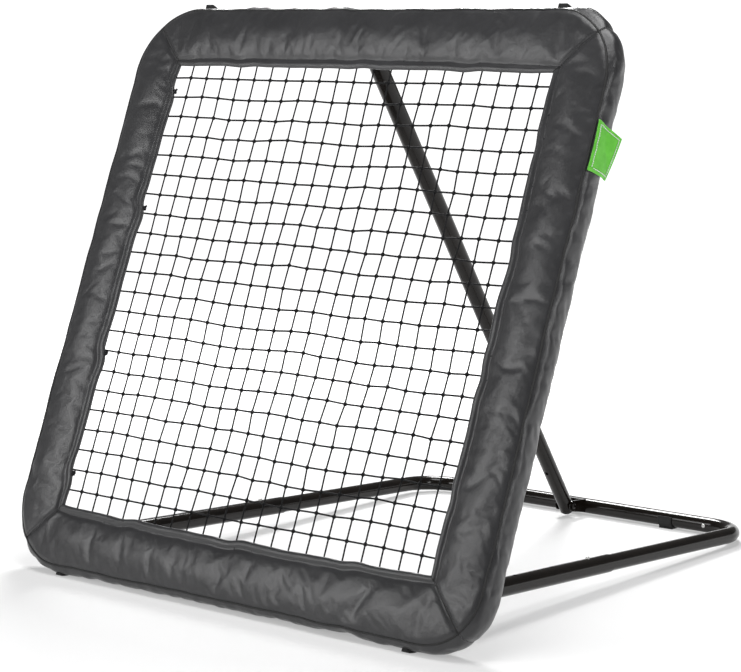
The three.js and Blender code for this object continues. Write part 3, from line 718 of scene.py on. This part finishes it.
def make_cover(side, seed, replaced):
    rows, kinds, places = cover_grid(side, seed)
    height, width, _ = rows.shape
    local = rows.reshape(-1, 3)
    rest = panel_points(local)
    faces = []
    for r in range(height - 1):
        for c in range(width - 1):
            a = r * width + c
            faces.append((a, a + width, a + width + 1, a + 1))
    piece = mesh_object(f"cover_{side}_cloth", rest, faces, FABRIC)
    weights = np.repeat([PIN[k] for k in kinds], width).reshape(height, width)
    weights[:, 0] = weights[:, -1] = 1.0
    weights[:, 1] = np.maximum(weights[:, 1], 0.5)
    weights[:, -2] = np.maximum(weights[:, -2], 0.5)
    settled = rest
    settled = simulate_cloth(piece, weights.ravel(), 0.008, 1.2)
    move = settled - rest
    size = np.linalg.norm(move, axis=1)
    limit = np.where(np.repeat([k in ("face", "gusset") for k in kinds], width), 0.011, 0.004)
    shorter = np.minimum(1.0, limit / np.maximum(size, 1e-9))
    settled = rest + move * (0.7 * shorter[:, None])
    settled[:, 2] = np.maximum(settled[:, 2], FLOOR_GAP)
    piece.data.vertices.foreach_set("co", settled.astype(np.float32).ravel())
    uv = piece.data.uv_layers.new(name="cloth")
    across = np.concatenate([[0], np.cumsum(np.linalg.norm(np.diff(rows[:, width // 2], axis=0), axis=1))])
    for loop in piece.data.loops:
        r, c = divmod(loop.vertex_index, width)
        uv.data[loop.index].uv = (places[c] * MM, across[r] * MM)
    piece.vertex_groups.clear()
    modifier(piece, "SUBSURF", levels=1, render_levels=1)
    modifier(piece, "SOLIDIFY", thickness=0.0014, offset=0.0)
    apply_modifiers(piece)
    finish_piece(piece, "net_frame", replaced)
    return settled.reshape(height, width, 3), kinds


def row_of(kinds, kind):
    return kinds.index(kind)


def stitches(name, line, normal, length, gap, radius, material, body="net_frame"):
    """Short threads laid along a line of points."""
    line = np.array(line)
    steps = np.linalg.norm(np.diff(line, axis=0), axis=1)
    reach = np.concatenate([[0], np.cumsum(steps)])
    parts = []
    place = gap
    normal = np.array(normal, float)
    while place + length < reach[-1] - gap:
        spots = np.linspace(place, place + length, 5)
        points = np.column_stack([np.interp(spots, reach, line[:, k]) for k in range(3)])
        lift = np.array([-0.3, 0.7, 1.0, 0.7, -0.3]) * radius
        points = points + np.outer(lift, normal)
        parts.append(sweep(points, radius * np.array([0.5, 0.9, 1, 0.9, 0.5]), 6))
        place += length + gap
    piece = mesh_object(name, *join_parts(parts), material)
    return finish_piece(piece, body)


def panel_local(points):
    """The (x, n, v) coordinates, in mm, of points in the row frame."""
    away = np.asarray(points) - np.array(LOW_PIVOT)
    return np.column_stack(
        [away @ np.array(ACROSS) / MM, away @ np.array(DEPTH) / MM + TUBE_DEPTH, away @ np.array(UP) / MM + TUBE_INSET + PIVOT_RISE]
    )


def make_tie_knots(side, edge):
    """The knots of the ties that hold the hem back, where they show on its inner edge: short coils of cord."""
    reach = np.concatenate([[0], np.cumsum(np.linalg.norm(np.diff(edge, axis=0), axis=1))])
    out = SIDES[side][2]
    inward = -(np.array(ACROSS) * out[0] + np.array(UP) * out[1])
    depth = np.array(DEPTH)
    parts = []
    for number, share in enumerate(TIES[side]):
        place = np.array([np.interp(share * reach[-1], reach, edge[:, k]) for k in range(3)])
        along = edge[-1] - edge[0]
        along /= np.linalg.norm(along)
        coil = []
        for k in range(33):
            angle = 2 * math.pi * k / 11
            radius = 0.0032 + 0.0006 * math.sin(k * 0.9 + number)
            spot = place + inward * (0.0012 + radius * math.cos(angle)) + depth * (0.002 + radius * math.sin(angle))
            coil.append(spot + along * (0.011 * (k / 32 - 0.5)))
        parts.append(sweep(smooth_path(coil, 1), 0.0018, 8))
    piece = mesh_object(f"tie_knots_{side}", *join_parts(parts), ELASTIC)
    finish_piece(piece, "net_frame")


def make_covers():
    right_gusset = None
    for seed, side in enumerate(SIDES):
        points, kinds = make_cover(side, seed * 5 + 2, [f"cover_{side}"])
        front = -np.array(DEPTH)
        seam = points[row_of(kinds, "seam")]
        piping = mesh_object(f"piping_{side}", *sweep(seam + front * 0.0006, 0.0023, 10), PIPING_AND_CREASE_SHADE)
        finish_piece(piping, "net_frame")
        hem = points[row_of(kinds, "stitch")]
        # A dark cord laid in the hem's stitched groove: painted shade standing in for the shadow in that groove.
        painted_groove_shade = mesh_object(f"hem_groove_painted_shade_{side}", *sweep(hem[1:-1] + front * 0.0003, 0.0011, 8), PIPING_AND_CREASE_SHADE)
        finish_piece(painted_groove_shade, "net_frame")
        stitches(f"hem_stitching_{side}", hem[2:-2] + front * 0.0006, front, 0.0042, 0.0016, 0.0005, THREAD)
        # A dark cord laid along the mitre: painted shade standing in for the shadow in the mitre's crease.
        mitre = points[row_of(kinds, "edge") : row_of(kinds, "seam") + 1, -1]
        crease = mesh_object(f"mitre_crease_painted_shade_{side}", *sweep(mitre + front * 0.0002, 0.0013, 8), PIPING_AND_CREASE_SHADE)
        finish_piece(crease, "net_frame")
        for end, column in (("start", 1), ("end", -2)):
            beside = points[row_of(kinds, "stitch") : row_of(kinds, "seam"), column]
            stitches(f"mitre_stitching_{side}_{end}", beside + front * 0.0006, front, 0.0042, 0.0016, 0.0005, THREAD)
        if side == "left":
            make_tie_knots(side, points[row_of(kinds, "edge")])
        if side == "right":
            right_gusset = panel_local(points[row_of(kinds, "seam") : row_of(kinds, "fold") + 1].reshape(-1, 3))
    return right_gusset


RIGHT_GUSSET = make_covers()


# ---------------------------------------------------------------- net
def make_net():
    """Knotted twine: cords wander a little between knots, and every crossing has a knot."""
    columns, rows = 23, 24
    xs = np.linspace(-504, 504, columns)
    vs = np.linspace(OPEN_LOW - 11, OPEN_HIGH + 17, rows)
    knots = np.zeros((rows, columns, 3))
    for r, v in enumerate(vs):
        for c, x in enumerate(xs):
            wander = noise.noise_vector(Vector((x / 210.0, v / 210.0, 0.0))) * 6.5
            shake = noise.noise_vector(Vector((x, v, 5.0))) * 3.6
            edge = min(c, columns - 1 - c, r, rows - 1 - r)
            hold = min(1.0, edge / 3.0)
            sag = 5.0 * math.sin(math.pi * c / (columns - 1)) * math.sin(math.pi * r / (rows - 1))
            knots[r, c] = (x + (wander.x + shake.x) * hold, 10.5 + sag + wander.z * hold, v + (wander.y + shake.y) * hold)
    places = panel_points(knots.reshape(-1, 3)).reshape(rows, columns, 3)
    parts = []
    depth = np.array(DEPTH)

    def strand(a, b, lean, radius):
        spots = np.linspace(0, 1, 5)
        points = np.outer(1 - spots, a) + np.outer(spots, b)
        points = points + np.outer(np.sin(spots * math.pi) * lean, np.array(UP)) * 0.6
        points = points + np.outer(np.sin(spots * math.pi) * lean * 0.5, depth)
        return sweep(points, radius, 6, start=depth)

    for r in range(rows):
        for c in range(columns):
            lean = noise.noise(Vector((r * 3.1, c * 2.7, 1.0))) * 0.0014
            if c + 1 < columns and 0 < r < rows - 1:
                parts.append(strand(places[r, c], places[r, c + 1], lean, 0.0020))
            if r + 1 < rows and 0 < c < columns - 1:
                parts.append(strand(places[r, c], places[r + 1, c], lean * 0.3, 0.0017))
    piece = mesh_object("net_cords", *join_parts(parts), NET_CORD)
    finish_piece(piece, "net_frame", ["net"])
    knots = []
    for r in range(1, rows - 1):
        for c in range(1, columns - 1):
            knots.append(knot(places[r, c], r * 31 + c))
    piece = mesh_object("net_knots", *join_parts(knots), NET_CORD)
    finish_piece(piece, "net_frame")
    corners = [(-506, 10.5, OPEN_LOW - 12), (506, 10.5, OPEN_LOW - 12), (506, 10.5, OPEN_HIGH + 12), (-506, 10.5, OPEN_HIGH + 12)]
    rim = []
    for (a, b) in zip(corners, corners[1:] + corners[:1]):
        for share in np.linspace(0, 1, 60, endpoint=False):
            rim.append(np.array(a) * (1 - share) + np.array(b) * share)
    border = mesh_object("net_border", *sweep(panel_points(rim), 0.0035, 10, closed=True), NET_CORD)
    finish_piece(border, "net_frame")


def knot(centre, seed):
    """A sheet-bend knot, as two small crossing turns of twine."""
    turn = noise.noise(Vector((seed * 0.37, 2.0, 3.0))) * 0.8
    across = np.array(ACROSS) * math.cos(turn) + np.array(UP) * math.sin(turn)
    along = np.array(UP) * math.cos(turn) - np.array(ACROSS) * math.sin(turn)
    depth = np.array(DEPTH)
    parts = []
    for u, v, w, lift in ((across, along, depth, 0.0006), (along, depth, across, -0.0004), (depth, across, along, 0.0)):
        ring = [
            centre + u * (0.0029 * math.cos(a)) + v * (0.0022 * math.sin(a)) + w * lift
            for a in np.linspace(0, 2 * math.pi, 8, endpoint=False)
        ]
        parts.append(sweep(ring, 0.0020, 6, closed=True))
    return join_parts(parts)


make_net()


# ---------------------------------------------------------------- lacing from net border to tube
def make_lacing(name, replaced, edge_point, out, along_range):
    """An elastic cord that winds round the frame tube and the net's border, loop after loop."""
    out = np.array(out, float)
    start, end = along_range
    loops = int(abs(end - start) / 46.0)
    step = (end - start) / loops
    reach = (HALF - TUBE_INSET) - 506.0
    path = []
    for i in range(loops + 1):
        along = start + step * i
        ring = [(-4.0, 10.5, 0.0), (0.0, 5.8, 0.04), (12.0, 7.5, 0.10)]
        for k in range(9):
            angle = math.radians(-115 + 250 * k / 8)
            ring.append((reach + (WIDE + 2.0) * math.cos(angle), TUBE_DEPTH + (WIDE + 2.0) * math.sin(angle), 0.2 + 0.5 * k / 8))
        ring.append((12.0, 14.5, 0.9))
        for o, n, share in ring:
            point = edge_point(along + step * share)
            path.append((point[0] + out[0] * o, n, point[1] + out[1] * o))
    piece = mesh_object(name, *sweep(smooth_path(panel_points(path), 2), 0.0019, 8), ELASTIC)
    return finish_piece(piece, "net_frame", replaced)


make_lacing("lacing_right", ["net_lacing_right"], lambda s: (506.0, s), (1, 0), (170.0, 1072.0))
make_lacing("lacing_left", ["net_lacing_left"], lambda s: (-506.0, s), (-1, 0), (170.0, 1072.0))
make_lacing("lacing_bottom", ["net_lacing_bottom"], lambda s: (s, OPEN_LOW - 12), (0, -1), (-415.0, 415.0))
make_lacing("lacing_top", ["net_lacing_top"], lambda s: (s, OPEN_HIGH + 12), (0, 1), (-455.0, 455.0))


# ---------------------------------------------------------------- painted tubes
def pipe(name, path, outer, body, replaced, sides=64, holes=(), start_round=None):
    """A hollow tube along a path, with small holes (place, direction, radius) cut in one wall."""
    outer_verts, outer_faces = sweep(path, outer * MM, sides)
    inner_verts, inner_faces = sweep(path, (outer - WALL) * MM, sides)
    count = len(path)
    outer_faces, inner_faces = outer_faces[:-2], inner_faces[:-2]
    offset = len(outer_verts)
    verts = list(outer_verts) + list(inner_verts)
    faces = list(outer_faces) + [tuple(i + offset for i in face)[::-1] for face in inner_faces]
    for ring, flip in ((0, False), (count - 1, True)):
        for k in range(sides):
            m = (k + 1) % sides
            quad = (ring * sides + k, offset + ring * sides + k, offset + ring * sides + m, ring * sides + m)
            faces.append(quad[::-1] if flip else quad)
    if start_round is not None:
        pivot, way = Vector(start_round[0]), Vector(start_round[1])
        level = way.cross(ACROSS).normalized()
        for base in (0, offset):
            for k in range(sides):
                p = Vector(verts[base + k])
                height = (p - pivot).dot(level)
                back = math.sqrt(max((WIDE * MM) ** 2 - height**2, 0.0))
                verts[base + k] = p + way * (-back - (p - pivot).dot(way))
    piece = mesh_object(name, verts, faces, PAINT)
    if holes:
        cut_holes(piece, holes)
    modifier(piece, "BEVEL", width=0.0004, segments=2, limit_method="ANGLE", angle_limit=math.radians(40))
    mark_sharp(piece)
    return finish_piece(piece, body, replaced)


def cut_holes(piece, holes):
    for place, way, radius in holes:
        verts, faces = revolve([(0, -14), (radius, -14), (radius, 14), (0, 14)], place, way, 28)
        cutter = mesh_object("cutter", verts, faces, PAINT, smooth=False)
        cut = piece.modifiers.new("cut", "BOOLEAN")
        cut.operation = "DIFFERENCE"
        cut.solver = "EXACT"
        cut.object = cutter
        apply_modifiers(piece)
        bpy.data.objects.remove(cutter)


def mark_sharp(piece, degrees=35.0):
    mesh = piece.data
    mesh.polygons.foreach_set("use_smooth", [True] * len(mesh.polygons))
    mesh.set_sharp_from_angle(angle=math.radians(degrees))


def line(a, b, count):
    return [Vector(a).lerp(Vector(b), i / (count - 1)) for i in range(count)]


def arc(centre, from_way, to_way, radius, steps=24):
    """Points of a quarter turn from centre + from_way to centre + to_way."""
    points = []
    for i in range(steps + 1):
        angle = math.pi / 2 * i / steps
        points.append(Vector(centre) + (Vector(from_way) * math.cos(angle) + Vector(to_way) * math.sin(angle)) * radius)
    return points


def make_panel_tubes():
    far = HALF - TUBE_INSET
    bend = 118.0
    join = far - bend - 50.0
    for name, sign in (("bottom", -1), ("top", 1)):
        v = HALF + sign * far
        path = line(panel(-join + 0.3, TUBE_DEPTH, v), panel(join - 0.3, TUBE_DEPTH, v), 4)
        pipe(f"tube_{name}", path, WIDE, "net_frame", [f"frame_tube_{name}"], 48)
    for name, sign in (("left", -1), ("right", 1)):
        x = sign * far
        path = line(panel(x, TUBE_DEPTH, HALF - join + 0.3), panel(x, TUBE_DEPTH, HALF + join - 0.3), 4)
        pipe(f"tube_{name}", path, WIDE, "net_frame", [f"frame_tube_{name}"], 48)
    for vertical, sv in (("bottom", -1), ("top", 1)):
        for horizontal, sx in (("left", -1), ("right", 1)):
            centre = panel(sx * (far - bend), TUBE_DEPTH, HALF + sv * (far - bend))
            path = [panel(sx * join, TUBE_DEPTH, HALF + sv * far)]
            path += arc(centre, UP * sv, ACROSS * sx, bend * MM, 16)
            path += [panel(sx * far, TUBE_DEPTH, HALF + sv * join)]
            pipe(f"elbow_{vertical}_{horizontal}", path, WIDE, "net_frame", [f"frame_elbow_{vertical}_{horizontal}"], 40)


make_panel_tubes()

LEG_X = (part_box("leg_tube_right")[0].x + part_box("leg_tube_right")[1].x) / 2 / MM
LEG_UP = ACROSS.cross(LEG_WAY)
LEG_HOLES = (315.0, 440.0, 565.0)
LEG_LENGTH = 638.0
SLIDER_START = 540.0
REAR_BEND = 90.0
REAR_JOINT = 332.0
REAR_SCREW = 349.0
LEG_REACH = (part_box("rear_cross_tube")[1].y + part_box("rear_cross_tube")[0].y) / 2
LEG_REACH = (LEG_REACH - LOW_PIVOT.y) / LEG_WAY.y / MM


def leg(x, along, up=0.0):
    """A point of the base: x across, along from the leg pivots and up from the tubes' plane, in mm."""
    return LOW_PIVOT + ACROSS * (x * MM) + LEG_WAY * (along * MM) + LEG_UP * (up * MM)


def make_base():
    for name, sign in (("left", -1), ("right", 1)):
        x = sign * LEG_X
        path = line(leg(x, -WIDE), leg(x, LEG_LENGTH), 24)
        holes = [(leg(x, y, WIDE), LEG_UP, 4.4) for y in LEG_HOLES]
        pipe(f"leg_{name}", path, WIDE, "legs", [f"leg_tube_{name}"], 72, holes, (leg(x, 0), LEG_WAY))
        centre = leg(x - sign * REAR_BEND, LEG_REACH - REAR_BEND)
        path = line(leg(x, SLIDER_START), leg(x, LEG_REACH - REAR_BEND - 1), 20)
        path += arc(centre, ACROSS * sign, LEG_WAY, REAR_BEND * MM, 28)
        path += line(leg(sign * (LEG_X - REAR_BEND - 1), LEG_REACH), leg(sign * REAR_JOINT, LEG_REACH), 4)
        holes = [(leg(x, LEG_HOLES[2], SLIM), LEG_UP, 4.4)]
        pipe(f"slider_{name}", path, SLIM, "rear_frame", [f"rear_corner_{name}"], 72, holes)
    path = line(leg(-REAR_JOINT + 0.3, LEG_REACH), leg(REAR_JOINT - 0.3, LEG_REACH), 20)
    pipe("rear_tube", path, SLIM - 0.02, "rear_frame", ["rear_cross_tube"], 72)


make_base()

PROP_BACK = ACROSS.cross(PROP_WAY)
PROP_FOOT = Vector(((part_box("rear_stub_bolt_left")[0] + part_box("rear_stub_bolt_left")[1]) / 2))
PROP_FOOT.x = 0.0
PROP_LENGTH = (PROP_FOOT - HIGH_PIVOT).length / MM


def prop(along, x=0.0, back=0.0):
    return HIGH_PIVOT + PROP_WAY * (along * MM) + ACROSS * (x * MM) + PROP_BACK * (back * MM)


def make_prop():
    button = ((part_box("prop_button")[0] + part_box("prop_button")[1]) / 2 - HIGH_PIVOT).dot(PROP_WAY) / MM
    side = -1.0 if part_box("prop_button")[0].x < -0.01 else 1.0
    holes = [(prop(button - shift, side * WIDE), ACROSS, 4.4) for shift in (0.0, 70.0, 131.0)]
    path = line(prop(-WIDE), prop(button + 45), 30)
    pipe("prop_upper", path, WIDE, "prop_upper", ["prop_upper_tube"], 72, holes, (HIGH_PIVOT, PROP_WAY))
    start = ((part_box("prop_lower_tube")[1] - HIGH_PIVOT).z) / PROP_WAY.z / MM
    holes = [(prop(PROP_LENGTH - 115.0, 0, -SLIM), PROP_BACK, 4.4)]
    path = line(prop(start + 12), prop(PROP_LENGTH + 8.0), 24)
    pipe("prop_lower", path, SLIM, "prop_lower", ["prop_lower_tube"], 72, holes)
    profile = [(0, 0), (15.5, 0), (15.5, 3), (17.2, 4.6), (17.2, 6), (16.6, 9.5), (14.8, 13), (11.4, 16), (6.5, 17.9), (0, 18.4)]
    plug = mesh_object("prop_plug", *revolve(profile, prop(PROP_LENGTH + 3.3), PROP_WAY, 48), PLASTIC)
    finish_piece(plug, "prop_lower", ["prop_end_plug"])


make_prop()


# ---------------------------------------------------------------- hardware
def dome_bolt(name, place, way, body, replaced, shaft, material=STEEL):
    """A button-head bolt with a hexagon socket. place is under its head, and way points out of the head."""
    head = [(0, -shaft), (3.6, -shaft), (4.0, -shaft + 0.8), (4.0, 0), (6.9, 0), (7.0, 0.8), (6.5, 2.4), (5.2, 3.8), (3.4, 4.5), (2.9, 4.6)]
    verts, faces = revolve(head + [(2.7, 2.2), (0, 2.2)], place, way, 36)
    piece = mesh_object(name, verts, faces, material)
    mark_sharp(piece, 40)
    return finish_piece(piece, body, replaced)


def lock_nut(name, place, way, body, replaced):
    """A hexagon nut with a nylon collar. place is its inner face."""
    verts, faces = revolve([(4.25, 0), (7.3, 0), (8.0, 0.7), (8.0, 4.4), (7.3, 5.0), (6.0, 5.3), (5.6, 6.4), (4.25, 6.4), (4.25, 0)], place, way, 6)
    piece = mesh_object(name, verts, faces, STEEL, smooth=False)
    modifier(piece, "BEVEL", width=0.0004, segments=2)
    return finish_piece(piece, body, replaced)


EAR_OUT = 22.7


def make_hardware():
    catch = [(0, 9), (7, 9), (7, 11), (4.1, 11.4), (4.1, 21.6), (3.7, 22.6), (2.6, 23.1), (0, 23.2)]
    for name, x in (("left", -LEG_X), ("right", LEG_X)):
        place = leg(x - EAR_OUT - 0.3, 0)
        dome_bolt(f"bolt_{name}", place, -ACROSS, "net_frame", [f"leg_bolt_{name}"], 53.0)
        lock_nut(f"nut_{name}", leg(x + EAR_OUT + 0.3, 0), ACROSS, "net_frame", [f"leg_nut_{name}"])
    dome_bolt("prop_pivot_bolt", prop(0, -EAR_OUT - 0.3), -ACROSS, "net_frame", ["prop_bolt"], 53.0)
    lock_nut("prop_pivot_nut", prop(0, EAR_OUT + 0.3), ACROSS, "net_frame", ["prop_nut"])
    for name, sign in (("left", -1), ("right", 1)):
        place = PROP_FOOT + ACROSS * (sign * 22.2 * MM)
        dome_bolt(f"rear_bolt_{name}", place, ACROSS * sign, "rear_frame", [f"rear_stub_bolt_{name}"], 3.2, PAINT)
        profile = [(0, -9), (2.4, -9), (2.4, 0), (4.5, 0), (4.6, 0.5), (4.1, 1.6), (2.8, 2.3), (0, 2.5)]
        place = leg(sign * REAR_SCREW, LEG_REACH - SLIM - 0.2)
        screw = mesh_object(f"screw_{name}", *revolve(profile, place, -LEG_WAY, 28), STEEL)
        finish_piece(screw, "rear_frame", [f"rear_screw_{name}"])
        button = mesh_object(f"button_{name}", *revolve(catch, leg(sign * LEG_X, LEG_HOLES[2]), LEG_UP, 28), STEEL)
        finish_piece(button, f"{name}_catch", [f"leg_button_{name}"])
    low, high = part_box("prop_button")
    middle = (low + high) / 2
    way = ACROSS if middle.x > 0 else -ACROSS
    centre = Vector((0, middle.y, middle.z))
    button = mesh_object("prop_catch_button", *revolve(catch, centre, way, 28), STEEL)
    finish_piece(button, "prop_catch", ["prop_button"])


make_hardware()


# ---------------------------------------------------------------- label
def make_label(gusset):
    """A plain woven tab, sewn into the right-hand seam, whose free edge flares outwards over the gusset."""
    corners = [
        np.array([HALF + 0.5, 0.5, 921.8]),
        np.array([HALF + 0.5, 0.5, 1021.2]),
        np.array([HALF + 24.0, 62.0, 1004.0]),
        np.array([HALF + 3.0, 69.0, 922.5]),
    ]
    columns, rows = 28, 22
    points = []
    for r in range(rows):
        q = r / (rows - 1)
        for c in range(columns):
            p = c / (columns - 1)
            flat = (corners[0] * (1 - p) + corners[1] * p) * (1 - q) + (corners[3] * (1 - p) + corners[2] * p) * q
            bow = math.sin(math.pi * q) * 2.0 + math.sin(math.pi * p) * 1.5 * q
            spot = flat + np.array([bow, 0, 0])
            near = np.hypot(gusset[:, 1] - spot[1], gusset[:, 2] - spot[2]) < 14.0
            if near.any():
                spot[0] = max(spot[0], gusset[near, 0].max() + 1.6)
            points.append(spot)
    faces = []
    for r in range(rows - 1):
        for c in range(columns - 1):
            a = r * columns + c
            faces.append((a, a + 1, a + columns + 1, a + columns))
    world = panel_points(points)
    piece = mesh_object("label", world, faces, LABEL)
    uv = piece.data.uv_layers.new(name="cloth")
    for loop in piece.data.loops:
        r, c = divmod(loop.vertex_index, columns)
        uv.data[loop.index].uv = (c / (columns - 1) * 0.099, r / (rows - 1) * 0.069)
    modifier(piece, "SOLIDIFY", thickness=0.0009, offset=0.0)
    apply_modifiers(piece)
    grid = world.reshape(rows, columns, 3)
    out = np.array(ACROSS)
    rim = np.vstack([grid[2, 2:-2], grid[3:-2, -3], grid[-3, 2:-2][::-1], grid[3:-2, 2][::-1]])
    edge = stitches("label_stitching", rim + out * 0.0007, out, 0.0036, 0.0009, 0.0009, LABEL_THREAD)
    finish_piece(piece, "net_frame", ["label_tab"])


make_label(RIGHT_GUSSET)


# ---------------------------------------------------------------- finishes of the carried-over solids
def dress(node, material, bevel=0.0008, sharp=35.0):
    piece = frame["nodes"][node]
    piece.data.materials.clear()
    piece.data.materials.append(material)
    modifier(piece, "BEVEL", width=bevel, segments=3, limit_method="ANGLE", angle_limit=math.radians(sharp), harden_normals=False)
    piece.data.polygons.foreach_set("use_smooth", [True] * len(piece.data.polygons))


for node_name in ("leg_bracket_left", "leg_bracket_right", "prop_bracket", "rear_clevis"):
    dress(node_name, PAINT)
for node_name in ("foot_bottom_left", "foot_bottom_right", "foot_top_left", "foot_top_right"):
    dress(node_name, RUBBER, 0.003)
for node_name in ("rear_foot_left", "rear_foot_right"):
    dress(node_name, CLIP, 0.001)
for node_name in ("leg_bush_left", "leg_bush_right", "prop_bush"):
    dress(node_name, PLASTIC, 0.0005)
